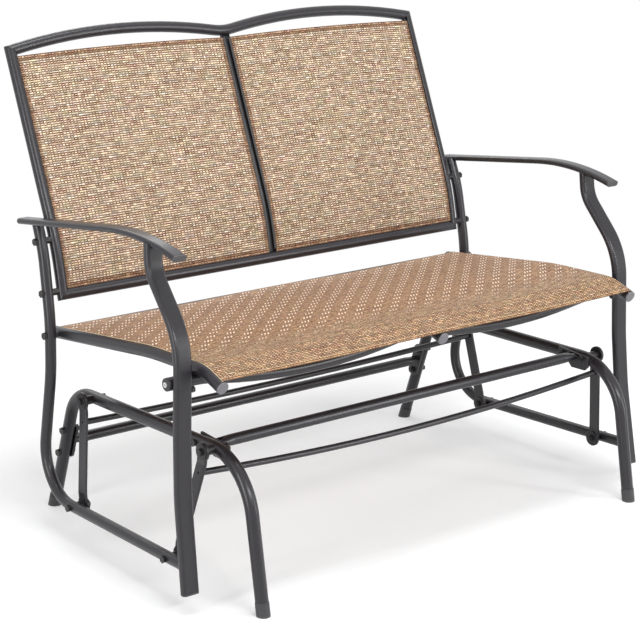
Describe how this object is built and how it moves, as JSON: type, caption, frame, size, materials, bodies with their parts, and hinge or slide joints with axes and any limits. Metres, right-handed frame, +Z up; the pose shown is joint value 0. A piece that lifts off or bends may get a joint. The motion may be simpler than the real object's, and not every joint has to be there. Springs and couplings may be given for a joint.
{
  "type": "glider bench",
  "caption": "Outdoor glider bench with a tubular steel frame and stretched sling seat and back, hung on flat links from a floor-standing base.",
  "frame": {"origin": "on the floor under the middle of the whole bench", "axes": "+X to the right of someone looking at the front of the bench, -Y the way the bench faces, +Z up"},
  "size_m": [1.2076, 0.8208, 0.9838],
  "materials": {
    "frame_coat": "satin powder coat",
    "black_hardware": "black coated steel",
    "end_plugs": "moulded plastic",
    "feet": "moulded foot cup",
    "plug_screws": "bright plated steel",
    "back_fabric": "open woven sling mesh, tan",
    "seat_fabric": "open woven sling mesh, brown",
    "edge_rods": "extruded plastic rod"
  },
  "bodies": {
    "base": {"left_base_hoop": "frame_coat", "right_base_hoop": "frame_coat", "front_stretcher": "frame_coat", "rear_stretcher": "frame_coat", "left_front_saddle_plate": "frame_coat", "right_front_saddle_plate": "frame_coat", "left_rear_saddle_plate": "frame_coat", "right_rear_saddle_plate": "frame_coat", "front_foot_caps": "feet", "rear_foot_caps": "feet", "saddle_bolts": "black_hardware", "saddle_nuts": "black_hardware", "upper_pivot_bolts": "black_hardware", "upper_pivot_nuts": "black_hardware", "upper_pivot_spacers": "black_hardware", "upper_pivot_washers": "black_hardware"},
    "rear_links": {"left_rear_link": "frame_coat", "right_rear_link": "frame_coat", "rear_tie_rod": "frame_coat"},
    "front_links": {"left_front_link": "frame_coat", "right_front_link": "frame_coat", "front_tie_rod": "frame_coat"},
    "seat": {"left_rear_post": "frame_coat", "right_rear_post": "frame_coat", "left_front_leg": "frame_coat", "right_front_leg": "frame_coat", "left_armrest": "frame_coat", "right_armrest": "frame_coat", "leg_caps": "end_plugs", "armrest_front_caps": "end_plugs", "armrest_rear_caps": "end_plugs", "lower_pivot_bolts": "black_hardware", "lower_pivot_nuts": "black_hardware", "lower_pivot_spacers": "black_hardware", "lower_pivot_washers": "black_hardware", "left_back_side_tube": "frame_coat", "right_back_side_tube": "frame_coat", "back_top_tube": "frame_coat", "back_low_tube": "frame_coat", "back_centre_tube": "frame_coat", "left_back_sling": "back_fabric", "right_back_sling": "back_fabric", "back_sling_rods": "edge_rods", "back_bolts": "black_hardware", "back_spacers": "black_hardware", "left_seat_side_rail": "frame_coat", "right_seat_side_rail": "frame_coat", "seat_centre_rail": "frame_coat", "seat_rear_tube": "frame_coat", "seat_front_tube": "frame_coat", "seat_rail_front_caps": "end_plugs", "seat_rail_rear_caps": "end_plugs", "front_tube_plugs": "end_plugs", "front_tube_plug_screws": "plug_screws", "seat_sling": "seat_fabric", "seat_sling_rods": "edge_rods", "seat_rear_bolts": "black_hardware", "seat_rear_spacers": "black_hardware", "leg_bolts": "black_hardware"}
  },
  "joints": [
    {"name": "glide", "type": "hinge", "parent": "base", "child": "rear_links", "pos_m": [0, 0.1526, 0.277], "axis": [1, 0, 0], "range_deg": [-12, 12]},
    {"name": "front_link_swing", "type": "hinge", "parent": "base", "child": "front_links", "pos_m": [0, -0.2564, 0.28477], "axis": [1, 0, 0], "range_deg": [-12.1, 12.1]},
    {"name": "seat_swing", "type": "hinge", "parent": "rear_links", "child": "seat", "pos_m": [0, 0.12215, 0.07326], "axis": [1, 0, 0], "range_deg": [-14.1, 14.1]}
  ],
  "couplings": [
    {"joint": "front_link_swing", "follows": "glide", "ratio": 1.0068},
    {"joint": "seat_swing", "follows": "glide", "ratio": -1.1735}
  ]
}
